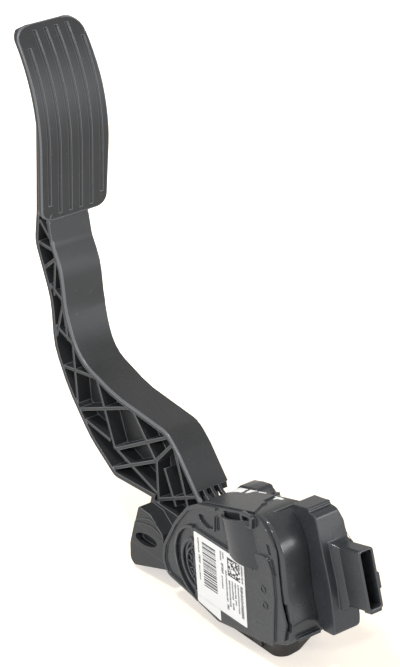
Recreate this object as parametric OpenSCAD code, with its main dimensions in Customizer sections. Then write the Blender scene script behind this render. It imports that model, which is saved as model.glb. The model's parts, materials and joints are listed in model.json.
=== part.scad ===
// Accelerator pedal with its sensor module, pad up. Millimetres, +Z up.
// X runs across the module, from the label side to the sensor side. The driver's foot is at -Y.
// The origin is the centre of the four threaded inserts in the base face.

/* [Pivot] */
// Height of the pivot axis above the base face
pivot_z = 39; // [37:0.5:42]
// Distance of the pivot axis behind the centre of the inserts
pivot_y = 25; // [23:0.5:27]
// Radius of the steel pivot pin
pin_r = 5; // [4:0.1:6]
// Radial running clearance of the bushes on the pin
pin_gap = 0.05; // [0.02:0.01:0.1]
// Wall of the two bushes
bush_wall = 1.6; // [1.2:0.1:2.2]
// Length of each bush inside the hub
bush_len = 9; // [6:0.5:11]
// Outer radius of the hub
hub_r = 15; // [14:0.5:17]

/* [Arm] */
// Distance from the module's label face to the arm's left face
arm_left = 14; // [13:0.5:15]
// Clearance between the arm's right face and the bearing wall
arm_gap = 2.6; // [2:0.1:4]
// Width of the arm below the pad
arm_top_w = 27; // [25:0.5:29]
// Thickness of the front and rear flanges
flange_t = 3; // [2.2:0.1:3.6]
// Thickness of the central web
web_t = 2.4; // [1.8:0.1:3]
// Thickness of the truss ribs
rib_t = 2; // [1.4:0.1:2.4]
// How far the ribs stay below the flange edges
rib_inset = 0.8; // [0.2:0.1:1.5]

/* [Pad] */
// Width of the foot pad
pad_w = 46; // [43:0.5:48]
// How far the pad overhangs the arm on its left
pad_over = 4.5; // [3:0.5:6]
// Thickness of the pad
pad_t = 4; // [3:0.25:5]
// Height of the pad's straight lower part
pad_low_h = 44; // [40:1:50]
// Radius of the pad's curved upper part
pad_bend_r = 92; // [82:1:115]
// Forward lean of the straight lower part, in degrees
pad_rake = 7.6; // [4:0.2:9]
// Angle through which the upper part turns back
pad_bend = 46; // [42:0.5:50]
// Corner radius of the pad
pad_corner = 9; // [6:0.5:11]
// Number of grooves along the pad
groove_n = 6; // [4:1:7]
// Width of each groove
groove_w = 1.8; // [1.2:0.1:2.4]
// Depth of each groove
groove_d = 0.9; // [0.5:0.1:1.3]
// Distance from the pad's long edges to the outer grooves
groove_edge = 5.5; // [4.5:0.25:7]

/* [Heel] */
// How far the heel block stands out from the arm's left face
heel_out = 9; // [7:0.25:9.4]
// Depth of the recessed band across the heel
heel_band = 2.2; // [1:0.1:3.5]

/* [Housing] */
// Rise of the hood towards the foot side, in degrees
hood_slope = 15.6; // [14:0.2:17]
// Radius of the upright corner at the front of the label side
corner_r = 14; // [8:0.5:18]
// Width of the spring chamber, from the label face to the sensor side
chamber_w = 26; // [25.5:0.25:27]
// Wall of the main housing
wall = 2.4; // [2:0.1:2.8]
// Width of the sensor side, from the chamber to the bearing wall's outer face
sensor_w = 16; // [15:0.25:18]
// Thickness of the bearing wall at the sensor side
right_wall = 3.4; // [2.8:0.1:4]
// Side play between the hub and the housing walls
side_gap = 0.4; // [0.2:0.05:0.6]
// Thickness of the side cover
cover_t = 3; // [2.4:0.1:3.4]
// Width of the raised border round the cover's rear part
border_w = 2; // [1.4:0.1:2.6]
// Depth of the cover's face inside the border
border_d = 1.2; // [0.8:0.1:1.6]
// Radius of the bearing boss on the cover
boss_r = 14; // [13:0.25:15]
// Left side of the base block, from the label face
base_left = 10; // [8:0.5:11]
// Depth of the base block, front to back
base_d = 58; // [54:0.5:61]
// How far the front of the housing stands round the cover
edge_step = 2.6; // [1.6:0.1:3]
// Height of the raised plate on the hood
hood_plate = 1; // [0.6:0.1:1.4]

/* [Base inserts] */
// Distance between inserts across the module
insert_dx = 20; // [18:0.5:20.5]
// Distance between inserts along the module
insert_dy = 38; // [35:0.5:39]
// Bore radius of the inserts
insert_bore = 2.55; // [2:0.05:3.05]
// Outer radius of the inserts
insert_r = 4; // [3.5:0.1:4.4]
// Length of the inserts
insert_len = 12; // [8:0.5:14]

/* [Springs] */
// Radial gap between the outer return spring and the chamber
coil_gap = 0.35; // [0.2:0.05:0.6]
// Wire radius of the outer return spring
wire_out_r = 0.95; // [0.7:0.05:1.1]
// Radial gap between the two return springs
nest_gap = 1.75; // [1.2:0.05:2]
// Wire radius of the inner return spring
wire_in_r = 0.7; // [0.5:0.05:0.9]
// Turns of each spring
coil_turns = 6; // [5:1:7]
// Distance of the spring's foot in front of the pivot
spring_reach = 41; // [40:0.25:41.5]
// Thickness of the seat and the cap at the springs' ends
seat_t = 3; // [2.5:0.25:3.5]
// Travel of the pedal, in degrees
travel = 16; // [14:0.5:17]

/* [Sensor] */
// How far the panel reaches across the front of the chamber
panel_lap = 6; // [5:0.25:7]
// How far the sensor block stays inside the bearing wall's outer face
sensor_inset = 4.8; // [4:0.1:5.5]
// Wall of the sensor housing
sensor_wall = 1.8; // [1.4:0.1:2.2]
// Distance of the shroud from the panel's left edge
plug_inset = 7; // [6.5:0.1:7.5]
// Height of the connector shroud
plug_h = 34; // [32:0.5:36]
// How far the shroud stands out from the panel
plug_out = 22; // [18:0.5:24]
// Wall of the connector shroud
plug_wall = 1.5; // [1.2:0.1:1.7]
// Number of contact pins
pins_n = 6; // [4:1:6]
// Pitch of the contact pins
pin_pitch = 4.4; // [3.6:0.1:4.8]

/* [Label] */
// Length of the label
label_w = 46; // [40:0.5:47]
// Height of the label
label_h = 40; // [36:0.5:41]
// Thickness of the label
label_t = 0.2; // [0.1:0.05:0.3]

/* [Hidden] */
$fn = 48;

plastic = "#3a3b3d";
dark_plastic = "#2c2d2f";
steel = "#9a9da1";

// Values that follow from the driving sizes
insert_cx = 26;
body_gap = 0.3;
hub_span = chamber_w + sensor_w;
arm_low_w = hub_span - right_wall - arm_gap - arm_left;
hub_left = cover_t + 1.6 + side_gap;
hub_right = hub_span - right_wall - side_gap;
bush_r = pin_r + pin_gap + bush_wall;
arm_mid = arm_left + arm_low_w / 2;
lever_x0 = cover_t + 3;
lever_x1 = chamber_w - 5;
spring_x = (cover_t + chamber_w - wall) / 2;
coil_out_r = (chamber_w - wall - cover_t) / 2 - coil_gap - wire_out_r;
coil_in_r = coil_out_r - wire_out_r - nest_gap - wire_in_r;
panel_left = chamber_w - panel_lap;
sensor_right = hub_span - sensor_inset;
plug_left = panel_left + plug_inset;
plug_w = sensor_right - plug_left - 0.5;
// Height of the hood's top above the pivot, at a place y
hood_edge = [-1, 37];
function hood_z(y) = hood_edge[1] + (hood_edge[0] - y) * tan(hood_slope);
hood_normal = [sin(hood_slope), cos(hood_slope)];
hood_front = -58;
floor_z = -23;
// Front of the module's side outline, from the hood down to the floor
front_line = [
  [hood_front, hood_z(hood_front), 15.5], [-72, 39.5, 22.5], [-74, 9, 40], [-78, -5, 8], [-75, -18, 6], [-62, floor_z, 6]
];
cover_rear = [
  [-14, -30.5, 4], [8, -26, 8], [34, -22, 6], [38, -14, 8], [35.5, -3, 12], [23, 16, 14], [9.5, 31, 10],
  [hood_edge[0], hood_edge[1], 6]
];
// Raised field of the cover that carries the label
field_out = [
  [7, 20.4, 1], [-43, 20.4, 4], [-54, 29.5, 5], [-63.5, 31.5, 5], [-67, 22, 14], [-68, 8, 20], [-64.5, -26, 0],
  [-26, -32, 0], [7, -32, 0]
];

// Fillets the corners of an outline given as [y, z, radius]
function unit(v) = v / norm(v);
function fillet_at(a, b, c, r) =
  let(
    u = unit(a - b), w = unit(c - b),
    half = acos(max(-1, min(1, u * w))) / 2,
    cut = min(r / tan(half), norm(a - b) * 0.48, norm(c - b) * 0.48),
    rr = cut * tan(half),
    mid = b + unit(u + w) * (rr / sin(half)),
    p = b + u * cut - mid, q = b + w * cut - mid,
    t0 = atan2(p[1], p[0]), raw = atan2(q[1], q[0]) - t0,
    turn = raw > 180 ? raw - 360 : (raw < -180 ? raw + 360 : raw),
    n = max(1, ceil(abs(turn) / 15))
  )
  [for (i = [0:n]) mid + rr * [cos(t0 + turn * i / n), sin(t0 + turn * i / n)]];
function xy(p) = [p[0], p[1]];
function smooth(pts) =
  let(n = len(pts))
  [for (i = [0:n - 1])
    let(a = xy(pts[(i + n - 1) % n]), b = xy(pts[i]), c = xy(pts[(i + 1) % n]),
        u = unit(a - b), w = unit(c - b), straight = abs(u * w + 1) < 0.0005)
    each (pts[i][2] > 0 && !straight ? fillet_at(a, b, c, pts[i][2]) : [b])];

// Moves every side of an outline inwards by d
function turning(pts) =
  let(n = len(pts))
  sign([for (i = [0:n - 1]) let(a = pts[i], b = pts[(i + 1) % n]) b[0] * a[1] - a[0] * b[1]] *
    [for (i = [0:n - 1]) 1]);
function cross_at(p, u, q, w) =
  let(k = u[0] * w[1] - u[1] * w[0], m = ((q[0] - p[0]) * w[1] - (q[1] - p[1]) * w[0]) / k)
  p + m * u;
function inset(pts, d) =
  let(n = len(pts), s = turning(pts))
  [for (i = [0:n - 1])
    let(a = xy(pts[(i + n - 1) % n]), b = xy(pts[i]), c = xy(pts[(i + 1) % n]),
        u = unit(b - a), w = unit(c - b),
        nu = s * [u[1], -u[0]], nw = s * [w[1], -w[0]],
        p = abs(u[0] * w[1] - u[1] * w[0]) < 0.001 ? b + d * nu : cross_at(b + d * nu, u, b + d * nw, w))
    [p[0], p[1], max(0.5, pts[i][2] - d)]];

// A side profile, given about the pivot, drawn out from x0 to x1 as measured from the label face
module side(x0, x1) {
  translate([x0 - insert_cx, pivot_y, pivot_z]) rotate([90, 0, 90]) linear_extrude(x1 - x0) children();
}
// A round bar across the module at a place given about the pivot
module bar(r, x0, x1, at = [0, 0]) {
  translate([x0 - insert_cx, pivot_y + at[0], pivot_z + at[1]]) rotate([0, 90, 0]) cylinder(r = r, h = x1 - x0);
}
// A box given by two corners, from the label face and about the pivot
module block(a, b) {
  translate([a[0] - insert_cx, pivot_y + a[1], pivot_z + a[2]]) cube(b - a);
}
module strip(a, b, t) {
  u = unit(b - a) * t / 2;
  s = [-u[1], u[0]];
  polygon([a - u + s, b + u + s, b + u - s, a - u - s]);
}

// Outline of the arm, front edge up and rear edge down, then the heel
arm_out = [
  [8, 22, 0], [19, 27, 8], [36, 48, 10], [46, 57, 16], [98, 61, 60], [133, 71, 26], [144, 94, 40],
  [145, 122, 30], [152, 136, 12], [154, 150, 6], [150, 200, 0], [150.5, 212, 2], [157, 218, 2], [163, 178, 40],
  [167, 153, 20], [172, 133, 16], [160, 100, 40], [161, 70, 30], [149, 46, 50], [129, 22, 50],
  [105, 6, 8], [67, 8, 0], [79, -23, 8], [80, -36, 4], [76, -37, 2], [40, -26, 0], [8, -14, 0]
];
truss = [
  [[171, 152], [151, 134]], [[172, 133], [151, 132]], [[168, 116], [150, 129]], [[164, 110], [144, 101]],
  [[152, 128], [157, 104]], [[147, 103], [158, 78]], [[163, 85], [136, 76]], [[149, 103], [146, 79]],
  [[141, 78], [141, 36]], [[160, 58], [112, 65]], [[118, 65], [104, 25]], [[104, 25], [62, 12]],
  [[142, 35], [78, 60]], [[134, 31], [109, 28]], [[84, 60], [61, 33]], [[101, 25], [44, 55]],
  [[111, 8], [61, 33]], [[61, 33], [40, 53]], [[52, 31], [44, 12]], [[41, 50], [31, 14]],
  [[60, 33], [61, 6]], [[60, 9], [20, 27]], [[160, 216], [148, 196]], [[163, 180], [148, 196]],
  [[164, 178], [148, 162]], [[168, 152], [150, 164]]
];
heel_block = [
  [67, 5.4, 2], [55, 4.7, 2], [44, -4, 3], [41, -25, 2], [76, -36.6, 3], [80, -34, 4], [79, -23, 10]
];
// The lever's top lies in the plane of the spring seat
lever_tip = -52;
spring_foot = [-spring_reach, 2];
function lever_z(y) = spring_foot[1] - seat_t / hood_normal[1] - (y - spring_foot[0]) * tan(hood_slope);
lever_low = -8;
function swing(p, a) = [p[0] * cos(a) + p[1] * sin(a), p[1] * cos(a) - p[0] * sin(a)];

// Points of the pad's foot face, from the bottom up, and the same line moved back by d
pad_foot = [153.8, 150.3];
pad_top = 264.5;
function pad_line(d) =
  let(n = 12, k = [cos(pad_rake), sin(pad_rake)],
      knee = pad_foot + pad_low_h * [-sin(pad_rake), cos(pad_rake)],
      mid = knee + pad_bend_r * k)
  concat([pad_foot + d * k],
    [for (i = [0:n]) let(a = pad_rake - pad_bend * i / n) mid - (pad_bend_r - d) * [cos(a), sin(a)]]);
function reversed(v) = [for (i = [len(v) - 1:-1:0]) v[i]];
module pad_band(d0, d1) {
  polygon(concat(pad_line(d0), reversed(pad_line(d1))));
}
pad_left = arm_left - pad_over;
pad_right = pad_left + pad_w;

module pad() {
  intersection() {
    side(pad_left, pad_left + pad_w) pad_band(0, pad_t);
    translate([0, pivot_y + 190, pivot_z]) rotate([90, 0, 0]) linear_extrude(60)
      translate([-insert_cx, 0]) polygon(smooth([
        [pad_left, pad_foot[1], pad_corner * 0.8], [pad_left, pad_top, pad_corner],
        [pad_right - 3, pad_top, pad_corner], [pad_right - 0.8, 226, 90],
        [pad_right, 192, 90], [pad_right - 1.8, pad_foot[1], pad_corner * 0.8]
      ]));
  }
}
module pad_grooves() {
  pitch = (pad_w - 2 * groove_edge) / (groove_n - 1);
  for (i = [0:groove_n - 1]) {
    x = pad_left + groove_edge + pitch * i;
    outer = i == 0 || i == groove_n - 1;
    intersection() {
      side(x - groove_w / 2, x + groove_w / 2) pad_band(-1, groove_d);
      block([x - groove_w, 130, pad_foot[1] + (outer ? 9.5 : 3.5)], [x + groove_w, 190, pad_top - (outer ? 13 : 5)]);
    }
  }
}

// The arm as seen from above its front edge: it widens towards the pad
module arm_plan() {
  x0 = arm_left - insert_cx;
  low = x0 + arm_low_w;
  top = x0 + arm_top_w;
  translate([0, pivot_y + 200, pivot_z]) rotate([90, 0, 0]) linear_extrude(230)
    polygon([[x0, -60], [x0, 230], [top, 230], [top, 96], [low + 1.5, 64], [low, 56], [low, -60]]);
}

module pedal_arm() color(plastic) difference() {
  union() {
    intersection() {
      union() {
        side(arm_left, arm_left + arm_top_w) difference() {
          polygon(smooth(arm_out));
          polygon(smooth(inset(arm_out, flange_t)));
        }
        side(arm_left + rib_inset, arm_left + arm_top_w - rib_inset) intersection() {
          polygon(smooth(arm_out));
          union() for (r = truss) strip(r[0], r[1], rib_t);
        }
        side(arm_mid - web_t / 2, arm_mid + web_t / 2) polygon(smooth(arm_out));
        side(arm_left, arm_left + arm_low_w) polygon([[67, 7], [79, -23], [80, -34], [76, -37], [40, -26], [8, -14],
          [8, 6]]);
      }
      arm_plan();
    }
    pad();
    heel();
    bar(hub_r, hub_left, hub_right);
    lever();
  }
  pad_grooves();
  comb_gaps();
  bar(bush_r, hub_left - 1, hub_right + 1);
  // Core that lightens the heel, open at its right side
  side(arm_mid + web_t, arm_left + arm_low_w + 1) polygon(smooth([
    [64, 2, 3], [73, -22, 3], [74, -32, 3], [44, -23, 3], [24, -12, 3], [24, 2, 3]
  ]));
}
// Gaps through the front flange just above the hood, with ribs left between them
module comb_gaps() {
  pitch = (arm_low_w - 2) / 4;
  for (i = [0:3]) let(x = arm_left + 1 + pitch * i)
    side(x + rib_t / 2, x + pitch - rib_t / 2 + (i == 3 ? 2 : 0))
      polygon([[8, 19], [16, 19], [21.5, 24.5], [22.5, 28.8], [17, 31.5], [8, 27]]);
}
module heel() {
  difference() {
    side(arm_left - heel_out, arm_left + 1) polygon(smooth(heel_block));
    side(arm_left - heel_out - 1, arm_left - heel_out + heel_band)
      polygon([[90, -8], [40, -7], [40, -20], [90, -21]]);
    side(arm_left - heel_out - 1, arm_left - heel_out + heel_band + 3)
      polygon(smooth([[73, -10, 3], [50, -9, 3], [50, -19, 3], [73, -19.5, 3]]));
  }
}
// The lever in front of the hub that the return springs press on
module lever() {
  side(lever_x0, lever_x1) polygon(smooth([
    [-6, 10, 0], [-22, lever_z(-22), 4], [lever_tip, lever_z(lever_tip), 2], [lever_tip, -2, 2],
    [-46, lever_low, 2], [-24, lever_low, 6], [-6, -14, 0]
  ]));
}

module left_bushing() color("#c9c4b4") bushing(hub_left, 1);
module right_bushing() color("#c9c4b4") bushing(hub_right, -1);
// A flanged bush pressed into one end of the hub; dir points into the hub
module bushing(x, dir) {
  a = dir > 0 ? x : x - bush_len;
  f = dir > 0 ? x - side_gap / 2 : x;
  difference() {
    union() {
      bar(bush_r, a, a + bush_len);
      bar(bush_r + 1.4, f, f + side_gap / 2);
    }
    bar(pin_r + pin_gap, a - 1, a + bush_len + 1);
  }
}

// Carrier on the hub that swings the magnet past the sensor chip
chip_t = 1.6;
board_t = 1.4;
board_x = sensor_right - board_t - 1.5;
rotor_x0 = chamber_w + body_gap + sensor_wall + 0.4;
rotor_x1 = board_x - chip_t - 0.5;
magnet_x0 = rotor_x0 + (rotor_x1 - rotor_x0) * 0.3;
rotor_reach = 33;
magnet_at = [-29, -3];
magnet_r = 3;
module magnet_rotor() color("#5d5a52") difference() {
  union() {
    side(rotor_x0, rotor_x1) polygon([[-12, 12], [-rotor_reach + 3, 3], [-rotor_reach, 1], [-rotor_reach, -7],
      [-rotor_reach + 3, -9], [-12, -12]]);
    intersection() {
      bar(hub_r + 2, rotor_x0, rotor_x1);
      side(rotor_x0, rotor_x1) polygon([[-20, -20], [5, -20], [5, 20], [-20, 20]]);
    }
  }
  bar(hub_r, rotor_x0 - 1, rotor_x1 + 1);
  bar(magnet_r, magnet_x0, rotor_x1 + 1, magnet_at);
}
module sensing_magnet() color(steel) bar(magnet_r, magnet_x0, rotor_x1, magnet_at);

// Places things along the leaning spring axis, with its foot at the lever
module spring_axis() {
  translate([spring_x - insert_cx, pivot_y - spring_reach, pivot_z + 2]) rotate([-hood_slope, 0, 0]) children();
}
spring_len = ([hood_edge[0], hood_edge[1]] - spring_foot) * hood_normal - wall - seat_t - 0.03;
module spring_seat() color("#b9b3a3") spring_axis() difference() {
  union() {
    translate([0, 0, -seat_t]) cylinder(r = coil_out_r + wire_out_r, h = seat_t);
    cylinder(r = coil_in_r - wire_in_r - 0.4, h = 4);
  }
  translate([0, 0, -seat_t - 1]) cylinder(r = 2, h = seat_t + 6);
}
module spring_cap() color("#b9b3a3") spring_axis() translate([0, 0, spring_len]) difference() {
  union() {
    cylinder(r = coil_out_r + wire_out_r, h = seat_t);
    translate([0, 0, -4]) cylinder(r = coil_in_r - wire_in_r - 0.4, h = 5);
  }
  translate([0, 0, -5]) cylinder(r = 2, h = 8);
}
// A closed coil swept as one surface: points per turn, sides of the wire
function coil_ring(r, w, turns, len, i, n, sides) =
  let(a = 360 * turns * i / n, z = w + (len - 2 * w) * i / n)
  [for (k = [0:sides - 1]) let(b = 360 * k / sides, q = r + w * cos(b)) [q * cos(a), q * sin(a), z + w * sin(b)]];
module coil(r, w, turns, len) {
  n = turns * 20;
  sides = 6;
  points = [for (i = [0:n]) each coil_ring(r, w, turns, len, i, n, sides)];
  skin = [for (i = [0:n - 1], k = [0:sides - 1]) let(a = i * sides, b = a + sides, m = (k + 1) % sides)
    each [[a + k, b + k, b + m], [a + k, b + m, a + m]]];
  ends = [[for (k = [0:sides - 1]) k], [for (k = [sides - 1:-1:0]) n * sides + k]];
  polyhedron(points, concat(skin, ends), convexity = 10);
}
module return_spring_outer() color(steel) spring_axis() translate([0, 0, 0.1])
  coil(coil_out_r, wire_out_r, coil_turns, spring_len - 0.2);
module return_spring_inner() color(steel) spring_axis() translate([0, 0, 0.1])
  coil(coil_in_r, wire_in_r, coil_turns, spring_len - 0.2);

// Side outline of the spring chamber, and of the wall at the sensor side of the hub
chamber_rear = -hub_r - 1.5;
hood_rear = chamber_rear - 0.3;
chamber_out = concat([[chamber_rear, hood_z(chamber_rear), 2]], front_line, [[chamber_rear, floor_z, 2]]);
module chamber_space(d) {
  polygon(smooth(concat(
    [for (y = [-6, chamber_rear]) [y, hood_z(y) - wall / hood_normal[1], 0]],
    [for (i = [1:6]) inset(chamber_out, d)[i]], [for (y = [chamber_rear, -6]) [y, floor_z + wall, 0]])));
}
hub_wall_out = [
  [-20, 36.5, 2], [-1, 31.5, 6], [9, 28, 12], [20, 18, 14], [27, 3, 14], [26, -14, 10], [18, -24, 8],
  [8, -30, 4], [-20, -30, 0]
];
// Drop of the hood towards the sensor side
hood_step = 5.5;
// Plan of the module, with its rounded front corner on the label side
module plan() {
  translate([0, 0, -1]) linear_extrude(pivot_z + 80) polygon(smooth([
    [-insert_cx - 6, 90, 0], [-insert_cx - 6, pivot_y - 66, 0], [-insert_cx, pivot_y - 66, 0],
    [-insert_cx, pivot_y - 78, corner_r], [40, pivot_y - 78, 0], [40, 90, 0]
  ]));
}
module main_housing() color(plastic) difference() {
  intersection() {
    housing_body();
    plan();
  }
  bar(pin_r, hub_span - right_wall - 1, hub_span + 4);
  // Snap window in the front corner
  block([cover_t - 1, -90, -9.5], [cover_t + 1, -70, 6]);
  for (p = insert_places) insert_at(p, -1) cylinder(r = insert_r, h = insert_len + 1);
}
module housing_body() {
    // Spring chamber, open to the label side and to the hub
    difference() {
      side(cover_t, chamber_w) polygon(smooth(chamber_out));
      side(cover_t - 1, cover_t + 1.6) chamber_space(edge_step + 1.4);
      side(cover_t + 1.5, chamber_w - wall) chamber_space(wall);
      // Room for the spring cap beside the edge that the cover sits in
      spring_axis() cylinder(r = coil_out_r + wire_out_r + 0.2, h = spring_len + seat_t + 0.03);
    }
    // Raised plate on the hood, cut off slantwise at the front
    intersection() {
      side(cover_t, chamber_w) polygon([[-55, hood_z(-55) - 1], [-55, hood_z(-55) + hood_plate],
        [-4, hood_z(-4) + hood_plate], [-4, hood_z(-4) - 1]]);
      translate([-insert_cx, pivot_y, 0]) linear_extrude(pivot_z + 80) polygon([[cover_t, -3], [cover_t, -50], [14, -42],
        [17, -42], [17, -38.5], [chamber_w, -37], [chamber_w, -3]]);
    }
    // Hood over the hub, stepped down towards the sensor side
    side(cover_t, chamber_w) polygon([
      [hood_rear, hood_z(hood_rear)], hood_edge, hood_edge - [0, 3], [hood_rear, hood_z(hood_rear) - 3]]);
    side(chamber_w - 0.1, hub_span) polygon([
      [-19.5, hood_z(-19.5) - hood_step], [-1, hood_z(-1) - hood_step],
      [-1, hood_z(-1) - hood_step - 3], [-19.5, hood_z(-19.5) - hood_step - 3]]);
    side(chamber_w - wall, chamber_w) polygon([
      [hood_rear, hood_z(hood_rear)], hood_edge, hood_edge - [0, hood_step + 3],
      [hood_rear, hood_z(hood_rear) - hood_step - 3]]);
    // Wall at the sensor side of the hub, with its bearing boss
    side(hub_span - right_wall, hub_span) polygon(smooth(hub_wall_out));
    bar(pin_r + 5, hub_span - 0.1, hub_span + 2.5);
    // Lug above the bearing
    bar(8, hub_span - right_wall, hub_span + 3, [-6, 27]);
    base_block();
    // Stop post for the full travel buffer
    side(lever_x0 + 4, chamber_w - wall + 0.1) polygon([
      [-48, hood_z(-48) - 1], [-48, stop_z + 4], [-54, stop_z + 4], [-58, stop_z + 14], [-57, hood_z(-57) - 1]]);
    // Ledge along the foot of the front wall
    side(corner_r - 6, panel_left + 2) polygon([[-70, -14], [-78.4, -14], [-78.4, -16], [-70, -18]]);
}
// Height at which the lever's tip stops below the full travel buffer
stop_z = swing([lever_tip, lever_z(lever_tip)], travel)[1] + 0.4;
insert_places = [for (i = [-1, 1], j = [-1, 1]) [i * insert_dx / 2, j * insert_dy / 2]];
module insert_at(p, z = 0) {
  translate([p[0], p[1], z]) children();
}
// Base block below the chamber and hub, cored from below
base_h = pivot_z + floor_z + 1;
module base_block() {
  y1 = insert_dy / 2 + 8;
  y0 = y1 - base_d;
  x0 = base_left - insert_cx;
  x1 = hub_span - insert_cx;
  core_h = base_h - 4;
  difference() {
    linear_extrude(base_h) polygon(smooth([
      [x0, y1, 2], [x0, y0 + 4, 7], [x0 + 5, y0, 6], [x0 + 14, y0 + 1, 8], [x1, y0 + 10, 3], [x1, y1, 2]
    ]));
    for (i = [-1, 1]) translate([i * 5.3 - 3.2, -insert_dy / 2 - 5, -1]) cube([6.4, insert_dy + 10, core_h + 1]);
    for (s = [-1, 1]) translate([x0 + 2.5, s * 6.8 - 5, -1]) cube([x1 - x0 - 5, 10, core_h + 1]);
  }
  // Latch toes below the cover
  for (y = [-14, 6]) translate([x0 - 2, y - 3.5, 2.5]) cube([4, 7, 4]);
}
module threaded_inserts() color("#b08d3c") for (p = insert_places) insert_at(p) difference() {
  cylinder(r = insert_r, h = insert_len);
  translate([0, 0, -1]) cylinder(r = insert_bore, h = insert_len + 2);
}

module pivot_pin() color(steel) bar(pin_r, border_d + 0.6, hub_span + 2.5);
module pin_clip() color(steel) difference() {
  bar(pin_r + 3, hub_span + 2.5, hub_span + 3.3);
  bar(pin_r - 1, hub_span + 2, hub_span + 4);
}

// Side cover on the label side
module side_cover() color(plastic) intersection() {
  cover_body();
  plan();
}
cover_front = inset(concat(front_line, [[0, floor_z, 0], [0, hood_edge[1], 0]]), edge_step);
cover_out = concat(
  [[cover_front[0][0], hood_z(cover_front[0][0]), 14]], [for (i = [1:4]) cover_front[i]], [[-60, floor_z, 6]], cover_rear);
module cover_body() difference() {
  union() {
    side(border_d, cover_t) polygon(smooth(cover_out));
    // Raised border round the rear part
    side(0, border_d + 0.1) difference() {
      polygon(smooth(cover_out));
      polygon(smooth(inset(cover_out, border_w)));
      translate([-100, -60]) square([100 + label_at[0] - 22, 160]);
    }
    side(0, border_d + 0.1) intersection() {
      polygon(smooth(field_out));
      polygon(smooth(cover_out));
    }
    // Bearing boss with its two rings
    difference() {
      bar(boss_r, 0, cover_t + 1.6);
      bar(boss_r - 2, -1, border_d);
    }
    difference() {
      bar(boss_r - 4, 0.2, border_d + 0.1);
      bar(boss_r - 6, -1, border_d + 0.2);
    }
    spring_bulge();
    // Hook frame at the front of the bulge
    side(-1.2, border_d + 0.1) difference() {
      polygon(smooth([[-42, 50.2, 1.5], [-43, 41, 1.5], [-52.5, 43.5, 1.5], [-53, 51.4, 2]]));
      polygon(smooth([[-44, 48.5, 0.8], [-44.8, 43.2, 0.8], [-50.4, 45, 0.8], [-50.8, 49.6, 0.8]]));
    }
    // Rib beside the first snap window
    side(0, border_d + 0.1) polygon([[-14.6, 26], [-15.8, 26], [-16.8, 35.4], [-15.6, 35.4]]);
  }
  bar(pin_r, border_d + 0.6, cover_t + 3);
  spring_axis() translate([bulge_x, bulge_y, -seat_t - 1]) cylinder(r = bulge_r - 2, h = bulge_top + seat_t + 3);
  // Snap windows along the top and the front edge
  side(-1, cover_t + 1) polygon(smooth([[0.5, 30.2, 1], [-1, 26.6, 2], [-7.5, 24.4, 4], [-13.6, 26.4, 1], [-14, 33, 1], [-9, 31.6, 6]]));
  side(-1, 2.2) polygon([[-16.8, 27.5], [-17.6, 35.6], [-19.6, 36.4], [-19.2, 28]]);
  side(-1, 2.2) polygon(smooth([[-61.3, 38.2, 0.5], [-63.8, 38.2, 0.5], [-65.6, 33, 0.5], [-63.4, 32.4, 0.5]]));
  side(-1, 2.2) polygon(smooth([[-65, 30.4, 0.5], [-67, 31, 0.5], [-69.2, 22.6, 0.5], [-67, 21.6, 0.5]]));
}
// Half-round bulge that clears the springs, open at its top end
bulge_r = 24;
bulge_rise = 3.6;
bulge_x = bulge_r - bulge_rise - spring_x;
bulge_y = -5.4;
bulge_top = spring_len + seat_t - 1;
module spring_bulge() {
  intersection() {
    spring_axis() translate([bulge_x, bulge_y, -5]) cylinder(r = bulge_r, h = bulge_top + 5);
    block([-6, -60, label_at[1] + 1], [cover_t, 0, 60]);
  }
}

module type_label() color("#f2f2f0") side(-label_t, 0) label_outline();
label_at = [4, 18.5];
module label_outline() {
  r = 1;
  polygon(smooth([
    [label_at[0], label_at[1], r], [label_at[0] - label_w, label_at[1], r],
    [label_at[0] - label_w, label_at[1] - label_h, r], [label_at[0], label_at[1] - label_h, r]
  ]));
}

// Shoe that rubs on the hub and gives the pedal its hysteresis
shoe_gap = 0.3;
module friction_shoe() color("#8b8577") intersection() {
  difference() {
    bar(hub_r + shoe_gap + 3.5, 7, 13);
    bar(hub_r + shoe_gap, 6, 14);
  }
  side(6, 14) polygon([[0, 0], [-9, 30], [12, 30]]);
}
// Bent leaf spring between the hood's underside and the shoe's back
leaf_t = 0.7;
function leaf_z(y) = hood_z(y) - 3 - leaf_t * 0.65;
module friction_spring() color(steel) difference() {
  side(7.5, 10.5) union() {
    strip([-7.5, leaf_z(-7.5)], [-2, leaf_z(-2)], leaf_t);
    strip([-2, leaf_z(-2)], [-6, 27], leaf_t);
    strip([-6, 27], [1.2, 18.8], leaf_t);
  }
  bar(hub_r + shoe_gap + 3.5, 5, 15);
}
module idle_buffer() color("#26231f") side(lever_x0 + 3, lever_x1 - 3)
  polygon(smooth([[-34, lever_low - 0.3, 2], [-34, floor_z + wall, 0], [-45, floor_z + wall, 0],
    [-45, lever_low - 0.3, 2]]));
module full_travel_buffer() color("#26231f") side(lever_x0 + 5, lever_x1 - 3)
  polygon(smooth([[-48, stop_z + 4, 0], [-48, stop_z, 1.5], [-54, stop_z, 1.5], [-54, stop_z + 4, 0]]));

// Sensor block: compartment beside the chamber, top block, panel and connector shroud
sensor_floor = base_h - pivot_z + body_gap;
sensor_out = [
  [-20.5, 36.2, 2], [-62, 47, 3], [-72, 47, 3], [-78.6, 30, 4], [-78.6, -16, 0], [-64, sensor_floor, 6], [-20.5, sensor_floor, 2]
];
front_out = [
  [-60, 52, 0], [-60, 54.6, 1], [-74.6, 57.8, 1], [-74.6, 55.4, 0], [-79.6, 55.4, 3], [-90, 17, 30], [-93.2, -11, 3],
  [-83, -12, 2], [-77, -9, 0], [-70, -9, 0], [-64, 40, 0]
];
plug_tilt = 13.5;
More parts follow.
